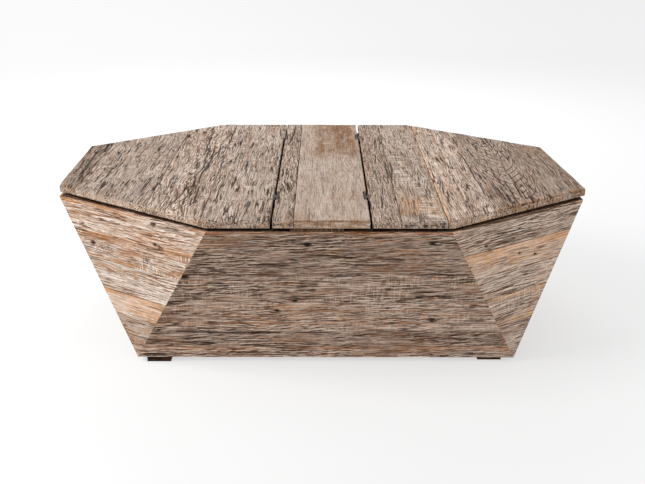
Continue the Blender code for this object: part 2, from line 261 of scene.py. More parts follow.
class Board:
    """A dense mesh in a CAD node's place. Relief goes inwards; only a notch may go outwards."""

    def __init__(self, node, along, normal, look, notches):
        self.name, self.look, self.notches = node, look, notches
        self.seed = seed_of(node)
        self.rng = np.random.default_rng(self.seed)
        n = Vector(normal).normalized()
        a = (Vector(along) - n * Vector(along).dot(n)).normalized()
        b = n.cross(a)
        points = np.array([v.co for v in frame["nodes"][node].data.vertices])
        axes = np.array([a, b, n])
        local = points @ axes.T
        middle = (local.min(0) + local.max(0)) / 2
        self.origin = axes.T @ np.array([middle[0], middle[1], local[:, 2].max()])
        self.ceiling = points[:, 2].max() - self.origin[2]
        self.axes = axes
        local = (points - self.origin) @ axes.T
        self.depth = -local[:, 2].min()
        self.outer = convex_outline(local[local[:, 2] > -FACE_TOLERANCE][:, :2])
        self.inner = convex_outline(local[local[:, 2] < -self.depth + FACE_TOLERANCE][:, :2])
        self.length = float(np.ptp(self.outer[:, 0]))
        self.width = float(np.ptp(self.outer[:, 1]))

    def field(self, a, b, size, salt, layers=1):
        """Noise over the board, with cells of this size."""
        return layered(a / size[0], b / size[1], self.seed + salt, layers)

    def place_of(self, u, v):
        """The point at these fractions of the board's length and width."""
        return self.outer[:, 0].min() + u * self.length, self.outer[:, 1].min() + v * self.width

    def sheet(self, outline, rows, columns):
        """Points (a, b) over one face: rows go across the grain and columns along it."""
        b = outline[:, 1].min() + rows * np.ptp(outline[:, 1])
        low, high = extent_at(outline, b)
        a = low[:, None] + columns[None, :] * (high - low)[:, None]
        b = np.repeat(b[:, None], len(columns), axis=1)
        for start, end, side, cut, ramp in self.notches:
            inside = smooth(start, start + ramp, a) * smooth(end, end - ramp, a)
            share = (b - b.min()) / np.ptp(b)
            b = b - inside * cut * (share if side > 0 else share - 1)
        return a, b

    def build(self):
        """The finished object: a carved seen face, a sawn under face and the sides between them."""
        look = self.look
        rows = spread(self.width, look["step_b"]) / self.width
        columns = spread(self.length, look["step_a"])
        base = self.outer[:, 0].min()
        for start, end, _, _, ramp in self.notches:
            extra = [start, start + ramp, end - ramp, end]
            columns = np.concatenate([columns, [place - base for place in extra]])
        columns = np.unique(np.round(np.clip(columns, 0, self.length), 6)) / self.length
        a, b = self.sheet(self.outer, rows, columns)
        ai, bi = self.sheet(self.inner, rows, columns)
        inside = edge_distance(self.outer, a, b)
        wobble_a, wobble_b = self.wobble(a, b, rows, columns)
        radius = self.edge_radius(a, b)
        curve = radius - np.sqrt(np.maximum(radius**2 - (radius - inside) ** 2, 0))
        drop = np.where(inside < radius, curve, 0)
        relief, marks = self.surface(a, b)
        fade = smooth(0, RELIEF_FADE, inside)
        n = -drop - relief * (0.25 + 0.75 * fade)
        top = np.stack([a + wobble_a, b + wobble_b, n], axis=-1)
        under_fade = smooth(0, RELIEF_FADE, edge_distance(self.inner, ai, bi))
        under = -self.depth + self.under_relief(ai, bi) * under_fade
        bottom = np.stack([ai + wobble_a, bi + wobble_b, under], axis=-1)
        return self.mesh(self.lowered(top), bottom, marks, len(rows), len(columns))

    def lowered(self, points):
        """Slides points down their sloping face where its worn edge would rise over the rim."""
        rise = self.axes[1][2]
        if rise < LEAST_SLOPE:
            return points
        excess = np.maximum(points @ self.axes[:, 2] - self.ceiling, 0)
        points[..., 1] -= excess / rise
        return points

    def wobble(self, a, b, rows, columns):
        """The hand-sawn unevenness of the four edges, as a move inwards that fades away from them."""
        on_sides, on_ends = self.look["wobble"]
        s = rows[:, None] * self.width
        t = columns[None, :] * self.length

        def pull(along, wave, salt, away):
            return (layered(along / wave, 0.5, self.seed + salt) ** 2) * np.exp(-away / WOBBLE_REACH)

        low, high = pull(a, SIDE_WAVE, 1, s), pull(a, SIDE_WAVE, 2, self.width - s)
        start, end = pull(b, END_WAVE, 3, t), pull(b, END_WAVE, 4, self.length - t)
        return on_ends * (start - end), on_sides * (low - high)

    def edge_radius(self, a, b):
        """How far the edge is worn round, more where it was knocked."""
        worn, knocked = self.look["round"], self.look["knock"]
        chip = smooth(0.62, 0.8, self.field(a, b, CHIPS, 7, 3))
        return worn * (0.6 + 0.8 * self.field(a, b, WORN_EDGE, 6)) + knocked * chip

    def surface(self, a, b):
        """How deep the seen face is carved, and its marks: tan, pale, dark and rim."""
        look = self.look
        line = b + (self.field(a, b, GRAIN_BEND, 11, 3) - 0.5) * look["bend"]
        fine, coarse = self.field(a, line, FINE_GRAIN, 12), self.field(a, line, COARSE_GRAIN, 13)
        patch = smooth(0.35, 0.65, self.field(a, b, RIDGED_AREA, 14, 3))
        grain = (0.55 * fine + 0.45 * coarse) ** 1.4
        relief = look["relief"] * grain * (0.45 + 0.55 * patch)
        relief = relief + look["swell"] * self.field(a, b, SWELLING, 15, 3)
        dark = 0.45 * smooth(0.55, 0.85, grain) * patch
        for where, depth, shade in self.checks(a, line):
            relief[where] = np.maximum(relief[where], depth)
            dark[where] = np.maximum(dark[where], shade)
        for depth, shade in [*self.holes(a, b), *self.knots(a, b)]:
            relief = np.maximum(relief, depth)
            dark = np.maximum(dark, shade)
        saw = look["saw"] * smooth(0.5, 0.62, self.field(a, b, SAWN_AREA, 16, 3))
        skew = a + 0.12 * b + 2 * MM * self.field(a, b, SAW_SKEW, 18)
        relief = relief + saw * self.field(skew, b, SAW_STROKE, 17)
        tan, pale = self.wear(a, b, "tan"), self.wear(a, b, "pale")
        marks = np.stack([tan, pale, np.clip(dark, 0, 1), np.zeros_like(tan)], axis=-1)
        return relief, marks

    def under_relief(self, a, b):
        """Light saw marks on the face that isn't usually seen."""
        saw = self.field(a + 0.2 * b, b, UNDER_STROKE, 31)
        return 0.25 * MM * saw + 0.3 * MM * self.field(a, b, UNDER_GRAIN, 32)

    def wear(self, a, b, kind):
        """Where tan or pale wood shows: in drifts, along chosen edges and in chosen spots."""
        look, salt = self.look, {"tan": 20, "pale": 60}[kind]
        ragged = self.field(a, b, RAGGED_EDGE, salt + 1, 3)
        found = look[kind] * smooth(0.45, 0.70, self.field(a, b, WORN_DRIFT, salt + 2, 3))
        low_a, high_a = extent_at(self.outer, b.ravel())
        low_b, high_b = self.outer[:, 1].min(), self.outer[:, 1].max()
        away = {
            "start": a - low_a.reshape(a.shape),
            "end": high_a.reshape(a.shape) - a,
            "low": b - low_b,
            "high": high_b - b,
        }
        for side, width in look[kind + "_edges"]:
            reach = width * (0.45 + 1.1 * ragged)
            found = np.maximum(found, smooth(1.0, 0.5, away[side] / reach))
        for u, v, half_u, half_v in look.get(kind + "_spots", ()):
            middle_a, middle_b = self.place_of(u, v)
            off_a = np.abs(a - middle_a) / (half_u * self.length)
            off_b = np.abs(b - middle_b) / (half_v * self.width)
            off = np.maximum(off_a, off_b) + 0.5 * (ragged - 0.5)
            found = np.maximum(found, smooth(1.25, 0.7, off))
        return np.clip(found, 0, 1)

    def checks(self, a, line):
        """Drying cracks along the grain: where each one is, how deep and how dark."""
        look, rng = self.look, self.rng
        count, longest, deepest = look["checks"]
        count = round(count * self.length * self.width)
        rows = [(u, v, half, CHOSEN_CRACK_DEPTH, lean) for u, v, half, lean in look["cracks"]]
        for _ in range(count):
            u, v, size, depth, lean = rng.random(5)
            lean = look["check_lean"] + (lean - 0.5) * 0.08
            rows.append((u, v, (0.25 + 0.75 * size**2) * longest, depth**1.5, lean))
        for u, v, half, depth, lean in rows:
            middle_a, middle_b = self.place_of(u, v)
            where = (np.abs(a - middle_a) < half) & (np.abs(line - middle_b) < CRACK_REACH)
            if not where.any():
                continue
            ca, cb = a[where], line[where]
            run = (ca - middle_a) / half
            body = np.sqrt(1 - run**2)
            wander = 4.5 * MM * (noise(ca / CRACK_WAVES[0], u * 977, self.seed + 41) - 0.5)
            wander = wander + 1.6 * MM * (noise(ca / CRACK_WAVES[1], v * 977, self.seed + 42) - 0.5)
            wide = (0.65 + 1.0 * depth) * MM * (0.3 + 0.7 * body)
            away = np.abs(cb - middle_b - wander - lean * (ca - middle_a)) / wide
            shape = np.exp(-(away**2)) * smooth(0, 0.3, body)
            cut = deepest * min(1, 0.35 + 0.65 * depth)
            shade = min(1.1, 0.5 + 0.5 * depth)
            yield where, cut * shape, shade * shape

    def holes(self, a, b):
        """Nail holes, each drawn out a little along the grain by its rust stain."""
        for u, v, radius in self.look["holes"]:
            middle_a, middle_b = self.place_of(u, v)
            away = np.hypot((a - middle_a) / 1.5, b - middle_b) / radius
            yield HOLE_DEPTH * smooth(1.0, 0.6, away), smooth(1.5, 0.7, away)

    def knots(self, a, b):
        """Knots: a dark heart with broken rings round it."""
        for u, v, radius in self.look["knots"]:
            middle_a, middle_b = self.place_of(u, v)
            away = np.hypot((a - middle_a) / 1.7, b - middle_b) / radius
            away = away * (0.8 + 0.4 * self.field(a, b, KNOT_BEND, 71))
            rings = np.exp(-(((away - 1.0) / 0.14) ** 2)) + 0.8 * np.exp(-(((away - 0.62) / 0.12) ** 2))
            rings = 0.8 * rings * self.field(a, b, KNOT_BREAKS, 72)
            shade = np.maximum(rings, smooth(0.32, 0.16, away))
            yield KNOT_DEPTH * shade, shade

    def mesh(self, top, bottom, marks, n_rows, n_columns):
        """Joins the two faces by the sides, which have their own rough rows."""
        row_count = max(2, round(self.depth / self.look["step_side"]))
        count = n_rows * n_columns
        grid = np.arange(count).reshape(n_rows, n_columns)
        edge = np.concatenate([grid[:, 0], grid[-1, 1:], grid[-2::-1, -1], grid[0, -2:0:-1]])
        points = [top.reshape(-1, 3), bottom.reshape(-1, 3)]
        upper, lower = points[0][edge], points[1][edge]
        rim = np.full((len(edge), 1), self.look["rim"])
        marks = marks.reshape(-1, 4)
        marks[edge, 3] = rim[:, 0]
        side_marks = []
        for row, shades in self.side_rows(upper, lower, row_count):
            points.append(row)
            side_marks.append(np.concatenate([shades, rim], axis=1))
        rings = [edge]
        rings += [2 * count + k * len(edge) + np.arange(len(edge)) for k in range(row_count - 1)]
        rings += [count + edge]
        quads = [grid[:-1, :-1], grid[1:, :-1], grid[1:, 1:], grid[:-1, 1:]]
        quads = np.stack([q.ravel() for q in quads], axis=1)
        faces = [quads[:, ::-1], quads + count]
        for above, below in zip(rings, rings[1:]):
            next_above, next_below = np.roll(above, -1), np.roll(below, -1)
            faces.append(np.stack([above, below, next_below, next_above], axis=1)[:, ::-1])
        all_marks = np.concatenate([marks, np.zeros_like(marks), *side_marks])
        return self.finish(np.concatenate(points), np.concatenate(faces), all_marks)

    def side_rows(self, upper, lower, count):
        """Rows of points down the sides, each a little concave and ragged, with their marks. Their dark
        mark grows towards the unseen face as painted shade, as where the lid shades the wall's rim.
        """
        look, seed = self.look, self.seed
        middle = self.outer.mean(0)
        walk = np.cumsum(np.linalg.norm(np.diff(upper, axis=0, prepend=upper[:1]), axis=1))
        ahead = np.roll(upper, -1, axis=0) - np.roll(upper, 1, axis=0)
        inward = np.stack([-ahead[:, 1], ahead[:, 0]], axis=1)
        inward /= np.maximum(np.linalg.norm(inward, axis=1), 1e-9)[:, None]
        inward *= np.sign(np.sum(inward * (middle - upper[:, :2]), axis=1))[:, None]
        for k in range(1, count):
            share = k / count
            row = upper * (1 - share) + lower * share
            rough = look["side_relief"] * layered(walk / SIDE_RAGS, share * 4, seed + 51)
            row[:, :2] += inward * (rough * math.sin(math.pi * share) ** 0.5)[:, None]
            tan = look["side_tan"] * smooth(0.35, 0.6, layered(walk / SIDE_TAN, share * 3, seed + 52))
            pale = smooth(0.35, 0.6, layered(walk / SIDE_PALE, share * 3, seed + 54))
            pale = look["side_pale"] * pale * (1 - share)
            dark = smooth(0.50, 0.75, layered(walk / SIDE_DARK, share * 4, seed + 53))
            # painted shade: the sides darken towards the unseen face, standing in for the lid's shadow
            hollow = look["hollow"] * smooth(0.15, 0.55, share)
            dark = np.clip(look["side_dark"] * dark + hollow, 0, 1)
            yield row, np.stack([tan, pale, dark], axis=-1)

    def finish(self, points, faces, marks):
        """Makes the object, in its place, from points, four-sided faces and marks."""
        mesh = bpy.data.meshes.new(self.name + "_wood")
        mesh.vertices.add(len(points))
        mesh.vertices.foreach_set("co", points.astype(np.float32).ravel())
        mesh.loops.add(faces.size)
        mesh.loops.foreach_set("vertex_index", faces.astype(np.int32).ravel())
        mesh.polygons.add(len(faces))
        mesh.polygons.foreach_set("loop_start", np.arange(0, faces.size, 4, dtype=np.int32))
        mesh.polygons.foreach_set("loop_total", np.full(len(faces), 4, np.int32))
        mesh.update(calc_edges=True)
        mesh.shade_smooth()
        layer = mesh.attributes.new("marks", "FLOAT_COLOR", "POINT")
        layer.data.foreach_set("color", marks.astype(np.float32).ravel())
        obj = add_object(self.name + "_wood", mesh)
        turn = Matrix(self.axes.T.tolist()).to_4x4()
        obj.matrix_world = Matrix.Translation(self.origin.tolist()) @ turn
        return obj


# Materials: a small kit for node graphs, then the wood itself.

# A mix node has a set of sockets for each kind of value. These are the ones for colours.
MIX_COLOR_INPUTS = (0, 6, 7)
MIX_COLOR_OUTPUT = 2
ARCH_STEEPNESS = 47.0


class Graph:
    """Builds a material's nodes. Every method returns the socket that the next one takes."""

    def __init__(self, name):
        self.material = bpy.data.materials.new(name)
        self.material.use_nodes = True
        self.tree = self.material.node_tree
        self.shader = self.tree.nodes["Principled BSDF"]

    def feed(self, socket, value):
        """Links a socket to another, or sets its own value."""
        if hasattr(value, "is_output"):
            self.tree.links.new(value, socket)
        elif hasattr(socket.default_value, "__len__") and len(socket.default_value) == 4:
            socket.default_value = (*value, 1.0)
        else:
            socket.default_value = value

    def math(self, operation, a, b=0.5):
        node = self.tree.nodes.new("ShaderNodeMath")
        node.operation = operation
        self.feed(node.inputs[0], a)
        self.feed(node.inputs[1], b)
        return node.outputs[0]

    def times(self, a, b):
        return self.math("MULTIPLY", a, b)

    def vector(self, operation, a, b):
        node = self.tree.nodes.new("ShaderNodeVectorMath")
        node.operation = operation
        self.feed(node.inputs[0], a)
        self.feed(node.inputs[1], b)
        return node.outputs[0]

    def noise(self, place, size, detail=2.0, rough=0.5, output="Fac"):
        """Noise with cells of this size, and as deep as they are wide."""
        node = self.tree.nodes.new("ShaderNodeTexNoise")
        scaled = self.vector("MULTIPLY", place, (1 / size[0], 1 / size[1], 1 / size[1]))
        self.feed(node.inputs["Vector"], scaled)
        node.inputs["Scale"].default_value = 1.0
        node.inputs["Detail"].default_value = detail
        node.inputs["Roughness"].default_value = rough
        return node.outputs[output]

    def ramp(self, value, low, high, start=0.0, end=1.0):
        """From start at low to end at high, soft at both. It falls where low is above high."""
        node = self.tree.nodes.new("ShaderNodeMapRange")
        node.interpolation_type = "SMOOTHSTEP"
        self.feed(node.inputs["Value"], value)
        for name, number in zip(("From Min", "From Max", "To Min", "To Max"), (low, high, start, end)):
            node.inputs[name].default_value = number
        return node.outputs["Result"]

    def level_line(self, value, level, half_width):
        """1 along the level lines of a value, fading to 0 at half_width."""
        away = self.math("ABSOLUTE", self.math("SUBTRACT", value, level))
        return self.ramp(away, half_width, half_width * 0.25)

    def mix(self, share, a, b):
        """Colour a with a share of colour b."""
        node = self.tree.nodes.new("ShaderNodeMix")
        node.data_type = "RGBA"
        for index, value in zip(MIX_COLOR_INPUTS, (share, a, b)):
            self.feed(node.inputs[index], value)
        return node.outputs[MIX_COLOR_OUTPUT]

    def marks(self):
        """A board's four marks, from 0 to 1: tan, pale, dark and rim."""
        node = self.tree.nodes.new("ShaderNodeAttribute")
        node.attribute_name = "marks"
        split = self.tree.nodes.new("ShaderNodeSeparateColor")
        self.tree.links.new(node.outputs["Color"], split.inputs["Color"])
        return (*split.outputs[0:3], node.outputs["Alpha"])

    def object_place(self, offset):
        node = self.tree.nodes.new("ShaderNodeTexCoord")
        return self.vector("ADD", node.outputs["Object"], offset)

    def object_axes(self):
        """The three coordinates in the object's own frame."""
        node = self.tree.nodes.new("ShaderNodeSeparateXYZ")
        self.feed(node.inputs[0], self.object_place((0.0, 0.0, 0.0)))
        return tuple(node.outputs)

    def arches(self, spacing):
        """The rings of a board cut from the side of a log: arches that point along the grain."""
        along, across, _ = self.object_axes()
        spread = self.times(self.times(across, across), ARCH_STEEPNESS)
        return self.math("DIVIDE", self.math("ADD", along, spread), spacing)

    def bump(self, height, strength, distance):
        node = self.tree.nodes.new("ShaderNodeBump")
        node.inputs["Strength"].default_value = strength
        node.inputs["Distance"].default_value = distance
        self.feed(node.inputs["Height"], height)
        self.feed(self.shader.inputs["Normal"], node.outputs[0])


# These tones are multiplied by a look's gain and by WARMTH, and no part passes BRIGHTEST.
TONES = ("light", "mid", "brown", "dark", "tan_color", "pale_color", "black")
WARMTH = (1.060, 1.03, 1.01)
BRIGHTEST = 0.9

# Noise sizes of the drawn grain.
SWAY = (0.26, 0.08)
CURL = (0.05, 0.025)
ROUGH_AREA = (0.16, 0.040)
GRIT = (0.012, 0.0042)
SAW_AREA = (0.10, 0.045)
CRACK_AREA = (0.10, 0.030)

# Where between its darkest and lightest a grain noise turns from one tone to the next.
GRAIN_BAND = (0.40, 0.56)
BUMP_DEPTH = 1.2 * MM


class Wood(Graph):
    """The wood of one board: layers of colour laid over each other, from plain grain to cracks."""

    def __init__(self, name, look):
        super().__init__(name)
        self.look = {**look, **lit_tones(look)}
        seed = seed_of(name)
        self.flat = self.object_place((seed % 97 * 0.37, seed % 89 * 0.23, seed % 83 * 0.31))
        self.place = self.bent(self.flat)
        self.long, self.thin = look["fibre"]
        self.fibre = self.noise(self.place, (self.long, self.thin), 1.5, 0.5)
        self.streak = self.noise(self.place, (self.long * 3.0, self.thin * 3.4), 2.0, 0.6)
        self.grain = self.math("ADD", self.times(self.fibre, 0.45), self.times(self.streak, 0.55))
        self.tan, self.pale, self.dark, self.rim = self.marks()
        self.color = self.mix(self.ramp(self.grain, *GRAIN_BAND), self.look["mid"], self.look["light"])
        self.lay_tones()
        self.lay_wear()
        slope = self.lay_fibre_light_and_shade()
        self.lay_grit()
        saw_line = self.lay_saw_marks()
        self.lay_rings()
        crack_line = self.lay_cracks()
        # the dark mark, which on the sides also holds painted shade
        self.lay(self.times(self.dark, 0.9), "black")
        self.feed(self.shader.inputs["Base Color"], self.color)
        self.feed(self.shader.inputs["Roughness"], self.ramp(self.streak, 0.35, 0.65, 0.92, 0.80))
        self.shader.inputs["Specular IOR Level"].default_value = 0.1
        height = self.math("ADD", self.grain, self.times(slope, 1.5))
        height = self.math("SUBTRACT", height, self.times(crack_line, 0.5))
        height = self.math("ADD", height, self.times(saw_line, 0.10))
        self.bump(height, look["bump"], BUMP_DEPTH)

    def lay(self, share, tone):
        """Lays a share of one of the look's tones over the colour so far."""
        self.color = self.mix(share, self.color, self.look[tone])

    def bent(self, flat):
        """Places moved across the grain by slow noise, so that the grain sways and curls."""
        place = flat
        for size, share in ((SWAY, 2.0), (CURL, 0.18)):
            reach = self.look["bend"] * share
            shift = self.noise(flat, size, 1.0, output="Color")
            shift = self.vector("SUBTRACT", shift, (0.5, 0.5, 0.5))
            place = self.vector("ADD", place, self.vector("MULTIPLY", shift, (0.0, reach, reach)))
        return place

    def lay_tones(self):
        """Brown patches and rusty fibres."""
        look = self.look
        patch = self.noise(self.place, look["patch"], 3.0, 0.6)
        self.lay(self.ramp(patch, 0.46, 0.64, 0.0, look["patchy"]), "brown")
        rust = self.noise(self.place, (self.long * 3.5, self.thin * 2.2), 2.0, 0.5)
        rust = self.ramp(rust, 0.55, 0.63, 0.0, look["rust"])
        self.lay(self.times(rust, self.ramp(self.fibre, 0.38, 0.52)), "tan_color")

    def lay_wear(self):
        """The rim, bare tan wood, bleached wood and pale clouds."""
        look = self.look
        rim_tone = self.mix(self.ramp(self.grain, 0.44, 0.56), look["rim_dark"], look["rim_color"])
        self.color = self.mix(self.rim, self.color, rim_tone)
        self.lay(self.times(self.tan, self.ramp(self.grain, *GRAIN_BAND, 0.5, 1.0)), "tan_color")
        self.lay(self.times(self.pale, self.ramp(self.fibre, *GRAIN_BAND, 0.25, 1.0)), "pale_color")
        cloud = self.noise(self.flat, look["cloud"], 3.0, 0.65)
        self.lay(self.ramp(cloud, 0.52, 0.62, 0.0, look["cloudy"]), "pale_color")

    def lay_fibre_light_and_shade(self):
        """Painted light on the raised fibres: a painted highlight on one side and painted shade on the
        other. Returns their slope.
        """
        look, long, thin = self.look, self.long, self.thin
        size = (long * 0.8, thin * 1.25)
        beside = self.vector("ADD", self.place, (long * 0.08, -thin * 0.5, 0.0))
        here, there = self.noise(self.place, size, 2.5, 0.6), self.noise(beside, size, 2.5, 0.6)
        slope = self.math("SUBTRACT", here, there)
        area = self.noise(self.flat, ROUGH_AREA, 2.0, 0.5)
        rough = self.ramp(area, 0.40, 0.58, look["calm"], 1.0)
        rough = self.times(rough, self.ramp(self.tan, 0.2, 1.0, 1.0, 0.4))
        # painted highlight: pale colour on one side of each raised fibre
        self.lay(self.times(self.ramp(slope, 0.02, 0.075, 0.0, look["fleck"]), rough), "pale_color")
        # painted shade: dark colour on the other side of each raised fibre
        hollow = self.ramp(slope, -0.025, -0.08, 0.0, look["streak_dark"])
        self.lay(self.times(hollow, rough), "dark")
        return slope

    def lay_grit(self):
        """Pits and grit, hardly longer than they are wide."""
        grit = self.noise(self.place, GRIT, 1.0, 0.5)
        self.lay(self.ramp(grit, 0.58, 0.66, 0.0, self.look["grit"]), "dark")
        self.lay(self.ramp(grit, 0.42, 0.35, 0.0, self.look["grit"]), "pale_color")

    def lay_saw_marks(self):
        """Light and dark marks of the saw, across the grain. Returns the light ones."""
        saw = self.noise(self.flat, self.look["saw_size"], 1.0, 0.6)
        area = self.noise(self.flat, SAW_AREA, 1.0)
        mask = self.ramp(area, 0.47, 0.56, 0.0, self.look["saw_color"])
        light = self.times(self.ramp(saw, 0.51, 0.59), mask)
        self.lay(light, "pale_color")
        self.lay(self.times(self.ramp(saw, 0.46, 0.38, 0.0, 0.3), mask), "dark")
        return light

    def lay_rings(self):
        """Growth rings: level lines of a slow noise, with arches where the look asks for them."""
        ring_long, ring_wide, rings = self.look["ring"]
        wave = self.times(self.noise(self.place, (ring_long, ring_wide), 1.0, 0.4), rings)
        if self.look["cathedral"]:
            wave = self.math("ADD", wave, self.arches(self.look["cathedral"]))
        wave = self.math("PINGPONG", wave, 0.5)
        ring = self.times(self.ramp(wave, 0.16, 0.02), self.ramp(self.streak, 0.42, 0.55))
        self.lay(self.times(ring, self.look["ring_dark"]), "dark")

    def lay_cracks(self):
        """Dark fibres and fine checks. Returns the checks."""
        look = self.look
        self.lay(self.ramp(self.streak, 0.40, 0.30, 0.0, look["streak_dark"] * 0.7), "dark")
        long, thin = look["crack"]
        area = self.noise(self.place, CRACK_AREA, 1.0)
        bold = self.level_line(self.noise(self.place, (long, thin), 1.0, 0.5), 0.5, 0.058)
        bold = self.times(bold, self.ramp(area, 0.44, 0.58))
        fine = self.noise(self.place, (long * 0.7, thin * 0.6), 1.0, 0.5)
        fine = self.times(self.level_line(fine, 0.46, 0.045), self.ramp(area, 0.56, 0.42))
        line = self.math("MAXIMUM", bold, self.times(fine, 0.7))
        self.lay(self.times(line, look["line_dark"]), "black")
        return line


def lit_tones(look):
    """The look's tones as they are used, with their hue kept where they are too bright."""
    tones = {}
    for tone in TONES:
        color = [part * look["gain"] * warm for part, warm in zip(look[tone], WARMTH)]
        tones[tone] = tuple(part * min(1, BRIGHTEST / max(color)) for part in color)
    return tones


def srgb(red, green, blue):
    """A colour as a painter reads it, 0 to 255, turned into light."""
    found = []
    for value in (red / 255, green / 255, blue / 255):
        value = value / 12.92 if value <= 0.04045 else ((value + 0.055) / 1.055) ** 2.4
        found.append(min(value, 0.95))
    return tuple(found)


# How a board looks. Sizes are in metres, and shares go from 0 to 1.
BASE_LOOK = {
    # Spacing of the mesh along the grain, across it and down the sides.
    "step_a": 6 * MM,
    "step_b": 1.5 * MM,
    "step_side": 3 * MM,
    # Depths of the carved ridges, swelling and saw marks, and how far the grain bends.
    "relief": 0.8 * MM,
    "swell": 0.6 * MM,
    "saw": 0.0,
    "bend": 12 * MM,
    # Unevenness of the sides and ends, and how far the edges are worn and knocked.
    "wobble": (0.9 * MM, 1.2 * MM),
    "round": 1.3 * MM,
    "knock": 1.3 * MM,
    # Roughness of the sides, and shares of their marks.
    "side_relief": 1.0 * MM,
    "side_tan": 0.5,
    "side_pale": 0.3,
    "side_dark": 0.5,
    # painted shade on the sides, darker towards the face that isn't seen
    "hollow": 0.0,
    "rim": 0.0,
    # Scattered checks: how many in a square metre, half the longest, and the deepest.
    "checks": (500, 0.05, 2.4 * MM),
    "check_lean": 0.0,
    # Chosen cracks, holes and knots.
    "cracks": (),
    "holes": (),
    "knots": (),
    # Bare tan wood and bleached wood: drifts, edges (side, width) and spots (u, v, half sizes).
    "tan": 0.15,
    "tan_edges": (),
    "pale": 0.35,
    "pale_edges": (),
    # Noise sizes of the drawn grain. A ring has its size and how many rings the noise makes.
    "fibre": (0.050, 0.0034),
    "patch": (0.15, 0.050),
    "cloud": (0.050, 0.016),
    "crack": (0.170, 0.0068),
    "saw_size": (0.011, 0.045),
    "ring": (0.60, 0.050, 18.0),
    "cathedral": 0.0,
    # Strengths of the drawn layers, and the share of raised fibre in the calmest areas. Raised fibre is
    # drawn as painted highlight on one side and painted shade on the other, and that shade's strength
    # also sets the dark streaks of the grain.
    "patchy": 0.7,
    "rust": 0.15,
    "cloudy": 0.5,
    "fleck": 0.6,
    "streak_dark": 0.50,
    "calm": 0.2,
    "grit": 0.2,
    "saw_color": 0.0,
    "ring_dark": 0.6,
    "line_dark": 0.9,
    "bump": 0.8,
    # The brightness of all tones but the rim's, and tones that a look can leave as they are.
    "gain": 0.77,
    "rim_color": srgb(180, 118, 68),
    "rim_dark": srgb(124, 78, 44),
    "black": srgb(30, 17, 10),
}


def toned(base, *tones, **changes):
    """A look with new tones, in the order of TONES, and changes."""
    return {**base, **{name: srgb(*tone) for name, tone in zip(TONES, tones)}, **changes}


def changed(base, **changes):
    """A look like another, with changes."""
    return {**base, **changes}


BEIGE = toned(
    BASE_LOOK, (190, 173, 159), (156, 136, 121), (150, 124, 104), (92, 62, 42), (186, 146, 110),
    (212, 200, 188), bend=16 * MM, rim=0.85, hollow=0.1, round=3.2 * MM, knock=2.5 * MM,
    rim_color=srgb(250, 222, 198), rim_dark=srgb(214, 172, 140),
)
DUSKY = toned(
    BEIGE, (172, 152, 137), (134, 114, 100), (128, 102, 84), (70, 46, 31), (166, 126, 92),
    (198, 184, 170),
)
SMOOTH = toned(
    BEIGE, (196, 179, 165), (174, 155, 140), (170, 146, 126), (118, 90, 72), (168, 141, 119),
    (208, 195, 182), fleck=0.25, ring_dark=0.2, streak_dark=0.3, line_dark=0.35,
    checks=(120, 0.03, 1.6 * MM),
)
WALL = changed(
    BASE_LOOK, bend=9 * MM, wobble=(0.4 * MM, 0.3 * MM), round=0.8 * MM, knock=0.8 * MM,
    checks=(160, 0.06, 2.2 * MM), hollow=0.6, fibre=(0.048, 0.0032), patch=(0.22, 0.022),
    cloud=(0.060, 0.010), crack=(0.170, 0.0046), saw_size=(0.0040, 0.032), ring=(0.9, 0.040, 14.0),
    patchy=0.9, fleck=0.75, streak_dark=0.80, calm=0.35,
)
FRONT = toned(
    WALL, (170, 146, 128), (124, 98, 82), (118, 86, 64), (48, 31, 21), (158, 106, 66), (196, 180, 166),
    rust=0.9, streak_dark=0.95,
)
PALE = toned(
    WALL, (222, 205, 190), (190, 168, 150), (182, 150, 122), (138, 86, 48), (192, 138, 88),
    (240, 232, 222), rust=0.5, black=srgb(66, 36, 18),
)
GREY = toned(
    WALL, (178, 160, 146), (138, 119, 106), (136, 106, 86), (82, 56, 40), (190, 150, 114),
    (206, 193, 180), black=srgb(42, 26, 16),
)
HIDDEN = changed(GREY, gain=1.1, step_a=9 * MM, step_b=2.2 * MM)
ROUGH = toned(
    WALL, (150, 118, 88), (112, 82, 56), (98, 66, 42), (52, 34, 22), (160, 110, 64), (176, 146, 116),
    step_b=3 * MM, step_a=12 * MM, step_side=5 * MM, checks=(40, 0.05, 1.5 * MM), saw=0.4 * MM,
    saw_color=0.3,
)
FOOT = toned(
    ROUGH, (70, 44, 30), (48, 29, 19), (40, 24, 15), (24, 14, 9), (90, 54, 32), (84, 60, 44), gain=1.0,
)

